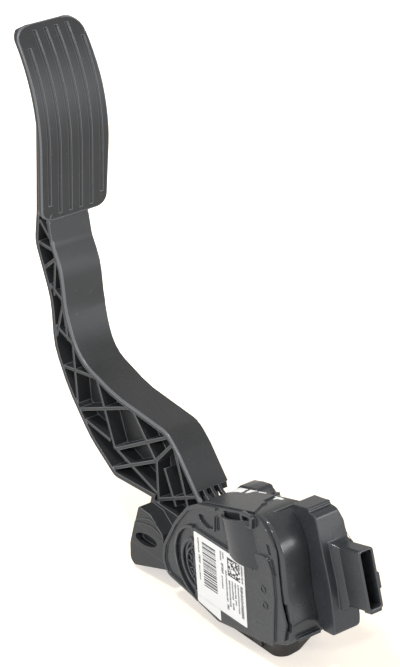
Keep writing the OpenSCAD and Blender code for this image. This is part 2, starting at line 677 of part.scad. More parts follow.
// Works in the connector's own frame: x across, y up the panel, z out of the socket
module plug_frame() {
  translate([plug_left + plug_w / 2 - insert_cx, pivot_y - 88, pivot_z + 21.2])
    rotate([90 - plug_tilt, 0, 0]) children();
}
module rounded_bar(w, h, len, r) {
  linear_extrude(len) polygon(smooth([[-w / 2, -h / 2, r], [-w / 2, h / 2, r], [w / 2, h / 2, r], [w / 2, -h / 2, r]]));
}
module sensor_shell() difference() {
  union() {
    side(chamber_w + body_gap, sensor_right) polygon(smooth(sensor_out));
    panel();
    plug_frame() {
      translate([0, 0, -6]) rounded_bar(plug_w, plug_h, plug_out + 6, 2);
      // Flared root of the shroud
      intersection() {
        rotate([90, 0, 0]) translate([0, 0, -plug_h]) linear_extrude(2 * plug_h) polygon([
          [-plug_w / 2 - 2.6, -4], [plug_w / 2, -4], [plug_w / 2, 5], [-plug_w / 2 - 0.4, 5], [-plug_w / 2 - 2, 1.6]]);
        rotate([90, 0, 90]) translate([0, 0, -plug_w]) linear_extrude(2 * plug_w) polygon([
          [-plug_h / 2 - 2.2, -4], [-plug_h / 2 - 1.6, 1.6], [-plug_h / 2 + 0.2, 5], [plug_h / 2 - 0.2, 5],
          [plug_h / 2 + 1.6, 1.6], [plug_h / 2 + 2.2, -4]]);
      }
      // Lock ramp on the outer side and lip below the mouth
      translate([plug_w / 2 - 0.1, -2, plug_out - 9]) rounded_bar(2.4, 9, 9, 0.6);
      translate([-plug_w / 2 + 1.2, -plug_h / 2 - 1.2, plug_out - 6]) cube([plug_w - 2.4, 2, 6]);
    }
  }
  // Sensor compartment, open to the lid side and to the hub
  side(chamber_w + body_gap + sensor_wall, sensor_right + 1)
    polygon(smooth(concat([[-19, 34, 0]], [for (i = [1:5]) inset(sensor_out, sensor_wall)[i]],
      [[-19, sensor_floor + sensor_wall, 0]])));
  plug_frame() translate([0, 0, 2]) rounded_bar(plug_w - 2 * plug_wall, plug_h - 2 * plug_wall, plug_out, 1.2);
}
// Panel in front of the chamber with its top block; it laps the chamber and clears it all round
module panel() difference() {
  intersection() {
    side(panel_left, sensor_right) polygon(smooth(front_out));
    translate([-insert_cx, pivot_y - 40, pivot_z]) rotate([90, 0, 0]) linear_extrude(60) polygon(smooth([
      [panel_left, -20, 2], [panel_left, 60, 0], [sensor_right - 3, 60, 1], [sensor_right - 3, 56.5, 2],
      [sensor_right, 48, 6], [sensor_right + 0.6, 0, 30], [sensor_right - 1, -12, 6], [panel_left + 4, -14, 4]
    ]));
  }
  side(panel_left - 1, chamber_w + body_gap) polygon(smooth(inset(chamber_out, -body_gap)));
}
module sensor_housing() color(dark_plastic) {
  sensor_shell();
  for (p = [[-70, 31], [-74, 0], [-42, 28], [-44, -14]]) bar(2, chamber_w + body_gap + 1, board_x, p);
}
lid_out = sensor_out;
lid_t = 2;
module sensor_lid() color(plastic) difference() {
  union() {
    side(sensor_right, sensor_right + lid_t) polygon(smooth(lid_out));
    side(sensor_right + lid_t - 0.1, sensor_right + lid_t + 1) difference() {
      polygon(smooth(inset(lid_out, 3)));
      polygon(smooth(inset(lid_out, 5)));
    }
  }
  side(sensor_right + lid_t - 0.6, sensor_right + lid_t + 2) polygon(smooth(inset(lid_out, 9)));
}
module sensor_board() color("#2f6b3a") side(board_x, board_x + board_t)
  polygon(smooth(inset(seal_out, 3.5)));
module sensor_chip() color("#1c1c1c") block([board_x - chip_t, -32, -6], [board_x, -26, 0]);
module board_parts() color("#3a3a3a") for (i = [0:3], j = [0:1])
  block([board_x - 1.2, -42 - 8 * i, 6 + 10 * j], [board_x, -38 - 8 * i, 8.5 + 10 * j]);
module connector_pins() color("#c8b273") plug_frame() for (i = [0:pins_n - 1])
  translate([0, pin_pitch * (i - (pins_n - 1) / 2), 2]) translate([-0.32, -0.32, -5]) cube([0.64, 0.64, 17]);
// The seal and the board follow the compartment's outline
seal_out = inset(concat([[-20.5, 35, 2]], [for (i = [1:5]) sensor_out[i]], [[-20.5, sensor_floor, 2]]), sensor_wall + 0.3);
module lid_seal() color("#1d1d1d") side(sensor_right - 1, sensor_right) difference() {
  polygon(smooth(seal_out));
  polygon(smooth(inset(seal_out, 2)));
}

pedal_arm();
left_bushing();
right_bushing();
magnet_rotor();
sensing_magnet();
spring_seat();
main_housing();
threaded_inserts();
pivot_pin();
pin_clip();
side_cover();
type_label();
friction_shoe();
friction_spring();
return_spring_outer();
return_spring_inner();
spring_cap();
idle_buffer();
full_travel_buffer();
sensor_housing();
sensor_lid();
sensor_board();
sensor_chip();
board_parts();
connector_pins();
lid_seal();
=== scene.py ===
# Dresses the accelerator pedal's solids: studio, procedural materials and detailed pieces, in metres.
import json
import math
import random

import bmesh
import bpy
from mathutils import Matrix, Vector, geometry
from mathutils.bvhtree import BVHTree


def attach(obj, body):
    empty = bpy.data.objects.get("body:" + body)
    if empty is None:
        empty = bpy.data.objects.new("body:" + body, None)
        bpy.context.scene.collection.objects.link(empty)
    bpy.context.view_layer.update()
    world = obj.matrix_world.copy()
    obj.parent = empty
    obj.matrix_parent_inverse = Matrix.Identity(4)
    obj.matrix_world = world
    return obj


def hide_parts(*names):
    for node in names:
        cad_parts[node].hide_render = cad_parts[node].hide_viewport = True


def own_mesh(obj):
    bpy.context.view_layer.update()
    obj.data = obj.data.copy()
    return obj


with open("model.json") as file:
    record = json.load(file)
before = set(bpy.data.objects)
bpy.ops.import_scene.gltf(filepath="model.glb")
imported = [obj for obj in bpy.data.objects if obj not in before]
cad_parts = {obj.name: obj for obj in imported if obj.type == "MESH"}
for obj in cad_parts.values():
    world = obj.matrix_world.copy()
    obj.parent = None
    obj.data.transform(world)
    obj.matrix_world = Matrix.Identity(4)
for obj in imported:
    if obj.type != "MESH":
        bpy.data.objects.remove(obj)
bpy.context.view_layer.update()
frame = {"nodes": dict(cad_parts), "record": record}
nodes = frame["nodes"]
mm = 0.001
labelFace = -26  # the module's face on the label side, in mm along X
pivotPlace = (25, 39)  # the pivot axis, in mm along Y and Z


# Camera, at the photograph's viewing angle

cameraView = {
    "target": (0.01114, 0.06628, 0.15071),
    "distance": 1.31231,
    "azimuth": -33.694,
    "elevation": 24.778,
    "roll": -3.677,
    "lens": 130.04,
    "sensor": 36,
    "nearest": 0.01,
    "farthest": 50,
}


def makeCamera(view):
    azimuth = math.radians(view["azimuth"])
    elevation = math.radians(view["elevation"])
    roll = math.radians(view["roll"])
    back = Vector((math.sin(azimuth) * math.cos(elevation),
                   -math.cos(azimuth) * math.cos(elevation),
                   math.sin(elevation)))
    level = back.cross(Vector((0, 0, -1))).normalized()
    upright = back.cross(level)
    across = level * math.cos(roll) + upright * math.sin(roll)
    upward = upright * math.cos(roll) - level * math.sin(roll)
    data = bpy.data.cameras.new("camera")
    data.lens = view["lens"]
    data.sensor_width = view["sensor"]
    data.clip_start = view["nearest"]
    data.clip_end = view["farthest"]
    camera = bpy.data.objects.new("camera", data)
    place = Matrix((across, upward, back)).transposed().to_4x4()
    place.translation = Vector(view["target"]) + back * view["distance"]
    camera.matrix_world = place
    bpy.context.scene.collection.objects.link(camera)
    bpy.context.scene.camera = camera


makeCamera(cameraView)
print("camera made")


# Node helpers

def node(tree, kind, **values):
    made = tree.nodes.new(kind)
    for name, value in values.items():
        setattr(made, name, value)
    return made


def join(tree, source, target):
    tree.links.new(source, target)


def feed(tree, value, socket):  # a number or colour is set on the socket, and an output is joined to it
    if isinstance(value, (int, float)):
        socket.default_value = value
    elif isinstance(value, tuple):
        socket.default_value = (*value, 1)
    else:
        join(tree, value, socket)


def newMaterial(name):
    material = bpy.data.materials.new(name)
    material.use_nodes = True
    return material, material.node_tree, material.node_tree.nodes["Principled BSDF"]


def newGroup(name, inputs, outputs):
    group = bpy.data.node_groups.new(name, "ShaderNodeTree")
    for label, kind, value in inputs:
        socket = group.interface.new_socket(name=label, in_out="INPUT", socket_type=kind)
        socket.default_value = value
    for label, kind in outputs:
        group.interface.new_socket(name=label, in_out="OUTPUT", socket_type=kind)
    return group, group.nodes.new("NodeGroupInput"), group.nodes.new("NodeGroupOutput")


def useGroup(tree, group, label, value):
    made = node(tree, "ShaderNodeGroup")
    made.node_tree = group
    made.inputs[label].default_value = value
    return made.outputs


def reckon(tree, operation, *values):  # one step of arithmetic on outputs and numbers
    made = node(tree, "ShaderNodeMath", operation=operation)
    for socket, value in zip(made.inputs, values):
        feed(tree, value, socket)
    return made.outputs[0]


def ramp(tree, value, low, high, toLow=0.0, toHigh=1.0):
    made = node(tree, "ShaderNodeMapRange")
    made.inputs["From Min"].default_value = low
    made.inputs["From Max"].default_value = high
    made.inputs["To Min"].default_value = toLow
    made.inputs["To Max"].default_value = toHigh
    join(tree, value, made.inputs["Value"])
    return made.outputs[0]


def blend(tree, share, under, over):  # one colour over another, by a share from 0 to 1
    made = node(tree, "ShaderNodeMix", data_type="RGBA")
    feed(tree, share, made.inputs["Factor"])
    feed(tree, under, made.inputs["A"])
    feed(tree, over, made.inputs["B"])
    return made.outputs["Result"]


def noise(tree, place, scale, detail):
    made = node(tree, "ShaderNodeTexNoise")
    join(tree, place, made.inputs["Vector"])
    feed(tree, scale, made.inputs["Scale"])
    made.inputs["Detail"].default_value = detail
    return made.outputs["Fac"]


def upwardPart(tree, vector):
    made = node(tree, "ShaderNodeSeparateXYZ")
    join(tree, vector, made.inputs[0])
    return made.outputs["Z"]


# Studio: a pale floor that the camera sees as lit paper, a bright surround and three lights

studio = {
    "floorSize": 12.0,
    "floorColour": (0.9, 0.88, 0.86),
    "floorRoughness": 0.9,
    "floorShine": 0.1,
    "seenColour": (0.93, 0.78, 0.57),  # the paper as the camera sees it, burnt out to white where it is lit
    "glowColour": (0.92, 0.94, 1),
    "glow": (0.49, 1.0),  # its strength under the part and far away
    "glowReach": (0.14, 0.5),  # how far from the middle those are, in metres
    "worldColour": (1.0, 0.97, 0.93),
    "worldStrength": 0.64,
    "lights": {
        "topLight": {"at": (-0.6, 0.0, 1.9), "size": 0.25, "power": 15, "colour": (0.95, 0.98, 1)},
        "leftLight": {"at": (-1.6, -0.35, 0.95), "size": 0.22, "power": 10.5, "colour": (0.94, 0.97, 1)},
        "rightLight": {"at": (0.75, -1.75, 0.5), "size": 0.8, "power": 15.5, "colour": (0.94, 0.97, 1)},
    },
    "aim": (0, 0.08, 0.13),
}


def floorPaper(made):
    material, tree, shader = newMaterial("floorPaper")
    feed(tree, made["floorColour"], shader.inputs["Base Color"])
    feed(tree, made["floorRoughness"], shader.inputs["Roughness"])
    feed(tree, made["floorShine"], shader.inputs["Specular IOR Level"])
    paper = node(tree, "ShaderNodeBsdfDiffuse")
    feed(tree, made["seenColour"], paper.inputs["Color"])
    glow = node(tree, "ShaderNodeEmission")
    feed(tree, made["glowColour"], glow.inputs["Color"])
    away = node(tree, "ShaderNodeVectorMath", operation="LENGTH")
    join(tree, node(tree, "ShaderNodeTexCoord").outputs["Object"], away.inputs[0])
    strength = ramp(tree, away.outputs["Value"], *made["glowReach"], *made["glow"])
    join(tree, strength, glow.inputs["Strength"])
    seen = node(tree, "ShaderNodeAddShader")
    join(tree, paper.outputs[0], seen.inputs[0])
    join(tree, glow.outputs[0], seen.inputs[1])
    either = node(tree, "ShaderNodeMixShader")
    join(tree, node(tree, "ShaderNodeLightPath").outputs["Is Camera Ray"], either.inputs["Fac"])
    join(tree, shader.outputs[0], either.inputs[1])
    join(tree, seen.outputs[0], either.inputs[2])
    join(tree, either.outputs[0], tree.nodes["Material Output"].inputs["Surface"])
    return material


def makeFloor(made):
    half = made["floorSize"] / 2
    corners = [(-half, -half, 0), (half, -half, 0), (half, half, 0), (-half, half, 0)]
    mesh = bpy.data.meshes.new("floor")
    mesh.from_pydata(corners, [], [(0, 1, 2, 3)])
    mesh.materials.append(floorPaper(made))
    floor = bpy.data.objects.new("floor", mesh)
    bpy.context.scene.collection.objects.link(floor)


def makeLights(made):
    world = bpy.data.worlds.new("surround")
    world.use_nodes = True
    surround = world.node_tree.nodes["Background"]
    feed(world.node_tree, made["worldColour"], surround.inputs["Color"])
    feed(world.node_tree, made["worldStrength"], surround.inputs["Strength"])
    bpy.context.scene.world = world
    for name, light in made["lights"].items():
        data = bpy.data.lights.new(name, "AREA")
        data.energy = light["power"]
        data.size = light["size"]
        data.color = light["colour"]
        lamp = bpy.data.objects.new(name, data)
        lamp.location = light["at"]
        lamp.rotation_euler = (Vector(made["aim"]) - lamp.location).to_track_quat("-Z", "Y").to_euler()
        bpy.context.scene.collection.objects.link(lamp)
    bpy.context.scene.view_settings.view_transform = "Standard"


makeFloor(studio)
makeLights(studio)
print("studio made")


# Shared surface effects, as groups that give only values and masks

mouldSurface = {
    "fineDetail": 3,
    "broad": {"scale": 38, "detail": 5},
    "speck": {"scale": 900, "detail": 4},
    "streak": {"scale": 1, "detail": 2},
    "streakStretch": (260, 1500, 190),
    "streakTurn": (0.4, 0.2, 0.5),
    "scuffs": (0.66, 0.74),  # where in the streaks a scuff starts, and where it is full
    "dustFacing": (0.2, 1.0),  # how far a face looks up before dust lies on it
    "dustSpecks": (0.5, 0.75),
    "lowTintHeights": (0.017, 0.006),  # of the brownish tint low down, in metres: none above the first, most below the second
    "lowTintPatches": (0.3, 0.6, 0.5, 1),
}
# Edges found here get a paler colour: partly wear, partly a painted highlight
edgeWearAndSheen = {"samples": 6, "lean": (0.985, 0.8)}


def grainGroup(made):  # fine moulding grain, broad mottling, rare scuffs, settled dust and a brownish tint low down
    kind = "NodeSocketFloat"
    group, given, result = newGroup(
        "mouldGrain",
        [("Scale", kind, 2500.0)],
        [("Height", kind), ("Mottle", kind), ("Scuffs", kind), ("Dust", kind), ("LowTint", kind)],
    )
    place = node(group, "ShaderNodeTexCoord").outputs["Object"]
    fine = noise(group, place, given.outputs["Scale"], made["fineDetail"])
    broad = noise(group, place, **made["broad"])
    speck = noise(group, place, **made["speck"])
    stretched = node(group, "ShaderNodeMapping")
    stretched.inputs["Scale"].default_value = made["streakStretch"]
    stretched.inputs["Rotation"].default_value = made["streakTurn"]
    join(group, place, stretched.inputs["Vector"])
    streak = noise(group, stretched.outputs[0], **made["streak"])
    facing = upwardPart(group, node(group, "ShaderNodeNewGeometry").outputs["Normal"])
    upward = ramp(group, facing, *made["dustFacing"])
    # A brownish tint in broad patches, strongest towards the bottom
    low = ramp(group, upwardPart(group, place), *made["lowTintHeights"])
    dust = reckon(group, "MULTIPLY", upward, ramp(group, speck, *made["dustSpecks"]))
    lowTint = reckon(group, "MULTIPLY", low, ramp(group, broad, *made["lowTintPatches"]))
    join(group, fine, result.inputs["Height"])
    join(group, broad, result.inputs["Mottle"])
    join(group, ramp(group, streak, *made["scuffs"]), result.inputs["Scuffs"])
    join(group, dust, result.inputs["Dust"])
    join(group, lowTint, result.inputs["LowTint"])
    return group


def edgeGroup(made):  # 1 along edges, which get a paler colour as wear and as a painted highlight, from how far a widely rounded normal leans off the face
    kind = "NodeSocketFloat"
    group, given, result = newGroup("edgeMask", [("Radius", kind, 0.0008)], [("Mask", kind)])
    soft = node(group, "ShaderNodeBevel", samples=made["samples"])
    join(group, given.outputs["Radius"], soft.inputs["Radius"])
    lean = node(group, "ShaderNodeVectorMath", operation="DOT_PRODUCT")
    join(group, soft.outputs[0], lean.inputs[0])
    join(group, node(group, "ShaderNodeNewGeometry").outputs["Normal"], lean.inputs[1])
    join(group, ramp(group, lean.outputs["Value"], *made["lean"]), result.inputs["Mask"])
    return group


grain = grainGroup(mouldSurface)
edges = edgeGroup(edgeWearAndSheen)


# Finishes: what a plastic or a metal has unless its own entry says otherwise, then each one's own

usualPlastic = {
    "grain": 2500,
    "roughnessSpread": 0.05,
    "edge": 0.6,  # how far the paler edge, partly wear and partly a painted highlight, reaches from an edge, in mm
    "edgeGloss": 0.12,
    "wearAndSheen": 0.22,
    "scuffs": 0.1,
    "dust": 0.06,
    "dustColour": (0.30, 0.27, 0.23),
    # A brownish tint towards the bottom: its share and its colour
    "lowTint": 0,
    "lowTintColour": (0.05, 0.041, 0.03),
    "bump": 0.25,
    "bumpHeight": 0.00012,  # in metres
}
usualMetal = {"grain": 2500, "roughnessSpread": 0.08, "darker": 0.8, "bump": 0.1, "bumpHeight": 0.00005}
mottleSpan = (0.3, 0.7)
roughSpan = (0.25, 0.75)


def mottledTint(tree, texture, dark, light):
    return blend(tree, ramp(tree, texture["Mottle"], *mottleSpan), dark, light)


def mottledRoughness(tree, texture, made):
    base, spread = made["roughness"], made["roughnessSpread"]
    return ramp(tree, texture["Mottle"], *roughSpan, base - spread, base + spread)


def addBump(tree, shader, texture, made):
    bump = node(tree, "ShaderNodeBump")
    bump.inputs["Strength"].default_value = made["bump"]
    bump.inputs["Distance"].default_value = made["bumpHeight"]
    join(tree, texture["Height"], bump.inputs["Height"])
    join(tree, bump.outputs[0], shader.inputs["Normal"])


def plastic(name, finish):  # moulded plastic: mottled tint, grained roughness, glossier and paler edges, partly wear and partly a painted highlight
    made = {**usualPlastic, **finish}
    material, tree, shader = newMaterial(name)
    texture = useGroup(tree, grain, "Scale", made["grain"])
    edge = useGroup(tree, edges, "Radius", made["edge"] * mm)
    roundedFaces = node(tree, "ShaderNodeAttribute", attribute_name="wornAndSheen")  # 1 on the roundings of moulded edges, which take the paler edge colour: partly wear, partly a painted highlight
    wearAndSheenEdges = reckon(tree, "MAXIMUM", edge["Mask"], roundedFaces.outputs["Fac"])
    wearAndSheen = reckon(tree, "MULTIPLY", wearAndSheenEdges, made["wearAndSheen"])
    scuffed = reckon(tree, "MULTIPLY", texture["Scuffs"], made["scuffs"])
    settled = reckon(tree, "MULTIPLY", texture["Dust"], made["dust"])
    lowTinted = reckon(tree, "MULTIPLY", texture["LowTint"], made["lowTint"])
    colour = mottledTint(tree, texture, made["dark"], made["light"])
    # Scuffs and edges take the paler colour: scuffs are wear, edges are partly wear and partly a painted
    # highlight
    colour = blend(tree, reckon(tree, "MAXIMUM", wearAndSheen, scuffed), colour, made["wornAndSheen"])
    colour = blend(tree, settled, colour, made["dustColour"])
    # Browner towards the bottom, in broad patches
    colour = blend(tree, lowTinted, colour, made["lowTintColour"])
    join(tree, colour, shader.inputs["Base Color"])
    gloss = reckon(tree, "MULTIPLY", wearAndSheenEdges, made["edgeGloss"])
    rough = reckon(tree, "SUBTRACT", mottledRoughness(tree, texture, made), gloss)
    join(tree, rough, shader.inputs["Roughness"])
    addBump(tree, shader, texture, made)
    return material


def metal(name, finish):
    made = {**usualMetal, **finish}
    material, tree, shader = newMaterial(name)
    shader.inputs["Metallic"].default_value = 1
    texture = useGroup(tree, grain, "Scale", made["grain"])
    dark = tuple(made["darker"] * part for part in made["colour"])
    join(tree, mottledTint(tree, texture, dark, made["colour"]), shader.inputs["Base Color"])
    join(tree, mottledRoughness(tree, texture, made), shader.inputs["Roughness"])
    addBump(tree, shader, texture, made)
    return material


plastics = {
    "arm_plastic": {
        # The arm's pale bluish edge colour, laid widely on its edges and pad grooves, is mostly a painted
        # highlight and partly wear
        "dark": (0.020, 0.021, 0.023), "light": (0.028, 0.029, 0.031), "wornAndSheen": (0.19, 0.197, 0.215),
        "roughness": 0.47, "bump": 0.3, "wearAndSheen": 0.65, "edgeGloss": 0.2,
    },
    "housing_plastic": {
        "dark": (0.026, 0.028, 0.032), "light": (0.036, 0.039, 0.044), "wornAndSheen": (0.12, 0.126, 0.138),
        # This plastic is tinted brown towards the bottom, at 0.8 of that tint's strength
        "roughness": 0.27, "bump": 0.12, "edgeGloss": 0.17, "lowTint": 0.8,
    },
    "sensor_plastic": {
        "dark": (0.026, 0.028, 0.033), "light": (0.035, 0.038, 0.043), "wornAndSheen": (0.11, 0.116, 0.128),
        "roughness": 0.27, "bump": 0.1, "edgeGloss": 0.15,
    },
    "bearing_plastic": {
        "dark": (0.5, 0.48, 0.4), "light": (0.62, 0.6, 0.52), "wornAndSheen": (0.7, 0.68, 0.6), "roughness": 0.4,
    },
    "carrier_plastic": {
        "dark": (0.2, 0.19, 0.16), "light": (0.28, 0.26, 0.22), "wornAndSheen": (0.35, 0.33, 0.3), "roughness": 0.4,
    },
    "label": {
        "dark": (0.79, 0.79, 0.785), "light": (0.84, 0.84, 0.835), "wornAndSheen": (0.8, 0.8, 0.78),
        "roughness": 0.4, "edge": 0.1, "wearAndSheen": 0, "scuffs": 0, "bump": 0.02, "dust": 0,
    },
    "rubber": {
        "dark": (0.016, 0.016, 0.016), "light": (0.026, 0.025, 0.024), "wornAndSheen": (0.08, 0.08, 0.08),
        "roughness": 0.7,
    },
    "board": {
        "dark": (0.03, 0.13, 0.06), "light": (0.04, 0.17, 0.08), "wornAndSheen": (0.3, 0.3, 0.2), "roughness": 0.3,
    },
    "chip": {
        "dark": (0.02, 0.02, 0.02), "light": (0.03, 0.03, 0.03), "wornAndSheen": (0.1, 0.1, 0.1), "roughness": 0.5,
    },
}
metals = {
    "magnet": {"colour": (0.35, 0.35, 0.36), "roughness": 0.45},
    "brass": {"colour": (0.78, 0.58, 0.28), "roughness": 0.32},
    "steel": {"colour": (0.62, 0.62, 0.62), "roughness": 0.28},
    "spring_steel": {"colour": (0.42, 0.42, 0.43), "roughness": 0.3},
    "contact": {"colour": (0.83, 0.7, 0.42), "roughness": 0.25},
}
materials = {name: plastic(name + "_finish", finish) for name, finish in plastics.items()}
for name, finish in metals.items():
    materials[name] = metal(name + "_finish", finish)
slots = {part["node"]: part["material_slot"] for part in frame["record"]["subparts"]}
for name, part in nodes.items():
    part.data.materials.clear()
    part.data.materials.append(materials[slots[name]])
print("materials made")


# Helpers for new pieces

def newPiece(name, build, body, slot, material=None, sharpFrom=40):
    mesh = bpy.data.meshes.new(name)
    for face in build.faces:
        face.smooth = True
    build.to_mesh(mesh)
    build.free()
    mesh.set_sharp_from_angle(angle=math.radians(sharpFrom))
    mesh.materials.append(material or materials[slot])
    piece = bpy.data.objects.new(name, mesh)
    bpy.context.scene.collection.objects.link(piece)
    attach(piece, body)
    return piece


def fromPivot(x, y, z):  # a place given from the label face and about the pivot, in mm
    return Vector((x + labelFace, y + pivotPlace[0], z + pivotPlace[1])) * mm


def addSolid(build, near, far):  # the solid between two flat outlines with as many places each
    near = [build.verts.new(place) for place in near]
    far = [build.verts.new(place) for place in far]
    faces = [build.faces.new(near), build.faces.new(list(reversed(far)))]
    for i in range(len(near)):
        k = (i + 1) % len(near)
        faces.append(build.faces.new((near[k], near[i], far[i], far[k])))
    bmesh.ops.recalc_face_normals(build, faces=faces)


def addPrism(build, outline, low, high):  # an outline of (y, z) places drawn out along X
    near = [fromPivot(low, y, z) for y, z in outline]
    far = [fromPivot(high, y, z) for y, z in outline]
    addSolid(build, near, far)


def addRing(build, outer, inner, low, high):  # the wall between two outlines with as many places each
    loops = [[build.verts.new(fromPivot(x, y, z)) for y, z in outline]
             for outline, x in ((outer, high), (outer, low), (inner, low), (inner, high))]
    for near, far in zip(loops, loops[1:] + loops[:1]):
        for i in range(len(near)):
            k = (i + 1) % len(near)
            build.faces.new((near[i], near[k], far[k], far[i]))


def arc(centre, radius, start, end, steps):
    turns = [start + (end - start) * i / steps for i in range(steps + 1)]
    return [(centre[0] + radius * math.cos(turn), centre[1] + radius * math.sin(turn)) for turn in turns]


def circle(centre, radius, steps):
    return arc(centre, radius, 0, 2 * math.pi, steps)[:-1]


def rounded(outline):  # an outline of (y, z, corner radius) with its corners rounded, as (y, z) places
    steps = 6
    sideShare = 0.48  # of a side, the most that one of its corners takes
    least = 0.1  # mm; a smaller corner stays square
    points = []
    for i, (y, z, radius) in enumerate(outline):
        corner = Vector((y, z))
        before = Vector(outline[i - 1][:2]) - corner
        after = Vector(outline[(i + 1) % len(outline)][:2]) - corner
        half = before.angle(after) / 2
        cut = min(radius / math.tan(half), before.length * sideShare, after.length * sideShare)
        if cut < least:
            points.append((y, z))
            continue
        start, end = corner + before.normalized() * cut, corner + after.normalized() * cut
        for k in range(steps + 1):
            t = k / steps
            place = start * (1 - t) ** 2 + corner * 2 * t * (1 - t) + end * t ** 2
            points.append((place.x, place.y))
    return points


def soften(build, edge, steps=2, turned=0.6):  # rounds each edge that turns more than so many radians
    sharp = [side for side in build.edges if side.is_manifold and side.calc_face_angle() > turned]
    bmesh.ops.bevel(build, geom=sharp, offset=edge * mm, segments=steps, profile=0.5, affect="EDGES",
                    clamp_overlap=True)


# Moulded pieces: copies of the solids whose sharp edges are really rounded

# Lines of (y, z, corner radius) about the pivot
frontEdge = [(-20, 42.3, 0), (-58, 52.9, 15.5), (-72, 39.5, 22.5), (-74, 9, 40), (-78, -5, 8),
             (-75, -18, 6), (-62, -22, 0)]
fieldEdge = [(-42.5, -25, 0), (-42.5, 20, 3.5), (-54, 29, 5), (-63.2, 31, 5), (-66.6, 22, 14),
             (-67.6, 8, 20), (-64.4, -22, 0)]
flangeEdge = [(8, 22, 0), (19, 27, 8), (36, 48, 10), (46, 57, 16), (98, 61, 60), (133, 71, 26),
              (144, 94, 40), (145, 122, 30), (152, 136, 12), (154, 150, 0)]

# Each rim takes the edges inside a box (two corners, in mm in the part's frame) and outside some others.
# Where it follows a line, they lie no farther from it than "within" and no nearer than "beyond", in mm.
mouldings = {
    "pedal_arm": {
        "body": "arm", "edge": 0.3,
        "rims": [
            # The foot pad's outer edges, without the grooved field between them
            {"edge": 0.9, "steps": 4, "inside": ((-20, 100, 186), (32, 230, 310)),
             "outside": [((-12.6, 100, 191.5), (25.4, 230, 296.9)), ((-6, 100, 296), (19.5, 230, 299))]},
            # The left edge of the flange on the foot's side
            {"edge": 1.2, "steps": 4, "inside": ((-12.4, 30, 58), (-11.6, 185, 190)),
             "along": flangeEdge, "within": 0.9},
        ],
        # The pad's upper corners: the side, the top, and the arc's reach along X and up
        "corners": [{"side": -16.7, "top": 301.9, "across": 10, "up": 8.8},
                    {"side": 27.0, "top": 301.9, "across": -11, "up": 9.6}],
    },
    "main_housing": {
        "body": "housing", "edge": 0.3,
        "rims": [{"edge": 1.9, "steps": 4, "inside": ((-24, -60, 38), (-12, 6, 95)),
                  "along": frontEdge, "within": 0.5}],
    },
    "side_cover": {
        "body": "housing", "edge": 0.3,
        "rims": [{"edge": 1.1, "steps": 4, "inside": ((-25.2, -60, 38), (-12, 6, 95)),
                  "along": frontEdge, "within": 3.1, "beyond": 2.1}],
        "infill": [
            # The field in front of the label, and the foot of the bulge above it
            {"outline": fieldEdge, "low": -0.04, "high": 1.1},
            {"outline": ((-32, 19.5, 0), (-32, 20.6, 0), (-52, 20.6, 0), (-52, 19.5, 0)),
             "low": -1.9, "high": 1.1},
            # The floors of the two pockets along the cover's top
            {"outline": ((0, 20, 0), (0, 33, 0), (-20, 36, 0), (-20, 20, 0)), "low": 2.6, "high": 2.95},
            {"outline": ((-23.5, 28, 0), (-23.5, 42.3, 0), (-50, 49.6, 0), (-50, 28, 0)),
             "low": 2.4, "high": 2.95},
        ],
    },
    "sensor_housing": {"body": "housing", "edge": 0.55},
    "sensor_lid": {"body": "housing", "edge": 0.45},
}
rounding = {
    "from": 35,  # an edge that turns more than this many degrees is rounded
    "steps": 2,
    "merge": 0.06,  # mm; nearer points become one
    "stray": 0.6,  # of the rounding's size, how far off the skin a corner may end
}
cornerCut = {"margin": 4, "along": (165, 215), "steps": 12}  # mm past the corner, mm along Y


def inBox(place, box):
    return all(low <= part / mm <= high for part, low, high in zip(place, *box))


def middle(side):
    return (side.verts[0].co + side.verts[1].co) / 2


def gapTo(line, place):  # how far a place is from a line of (y, z) places about the pivot, in mm
    point = Vector((place.y / mm - pivotPlace[0], place.z / mm - pivotPlace[1]))
    gaps = []
    for start, end in zip(line, line[1:]):
        start, end = Vector(start), Vector(end)
        share = max(0, min(1, (point - start).dot(end - start) / (end - start).length_squared))
        gaps.append((start.lerp(end, share) - point).length)
    return min(gaps)


def onRim(side, rim, line):
    place = middle(side)
    if not side.is_convex or not inBox(place, rim["inside"]):
        return False
    if any(inBox(place, box) for box in rim.get("outside", ())):
        return False
    return not line or rim.get("beyond", 0) <= gapTo(line, place) <= rim["within"]


def roundEdges(build, edge, steps, chosen):
    skin = BVHTree.FromBMesh(build)
    turned = math.radians(rounding["from"])
    sharp = [side for side in build.edges
             if side.is_manifold and side.calc_face_angle() > turned and chosen(side)]
    wornAndSheen = build.faces.layers.float["wornAndSheen"]
    made = bmesh.ops.bevel(build, geom=sharp, offset=edge * mm, offset_type="OFFSET", segments=steps,
                           profile=0.5, affect="EDGES", clamp_overlap=False)
    # The new roundings are marked for the paler edge colour: partly wear, partly a painted highlight
    for face in made["faces"]:
        face[wornAndSheen] = 1
    for point in build.verts:  # a corner that was thrown off the skin comes back to it
        near, _, _, gap = skin.find_nearest(point.co)
        if gap > rounding["stray"] * edge * mm:
            point.co = near


def cornerCutter(side, top, across, up):  # the square corner outside a quarter of an ellipse, drawn along Y
    margin, steps = cornerCut["margin"], cornerCut["steps"]
    beyond = side - math.copysign(margin, across)
    outline = [(beyond, top - up), (beyond, top + margin), (side + across, top + margin)]
    for i in range(steps + 1):
        turn = math.pi / 2 * (1 - i / steps)
        outline.append((side + across * (1 - math.cos(turn)), top - up * (1 - math.sin(turn))))
    front, rear = cornerCut["along"]
    near = [Vector((x, front, z)) * mm for x, z in outline]
    far = [Vector((x, rear, z)) * mm for x, z in outline]
    build = bmesh.new()
    addSolid(build, near, far)
    mesh = bpy.data.meshes.new("corner cutter")
    build.to_mesh(mesh)
    build.free()
    return bpy.data.objects.new("corner cutter", mesh)


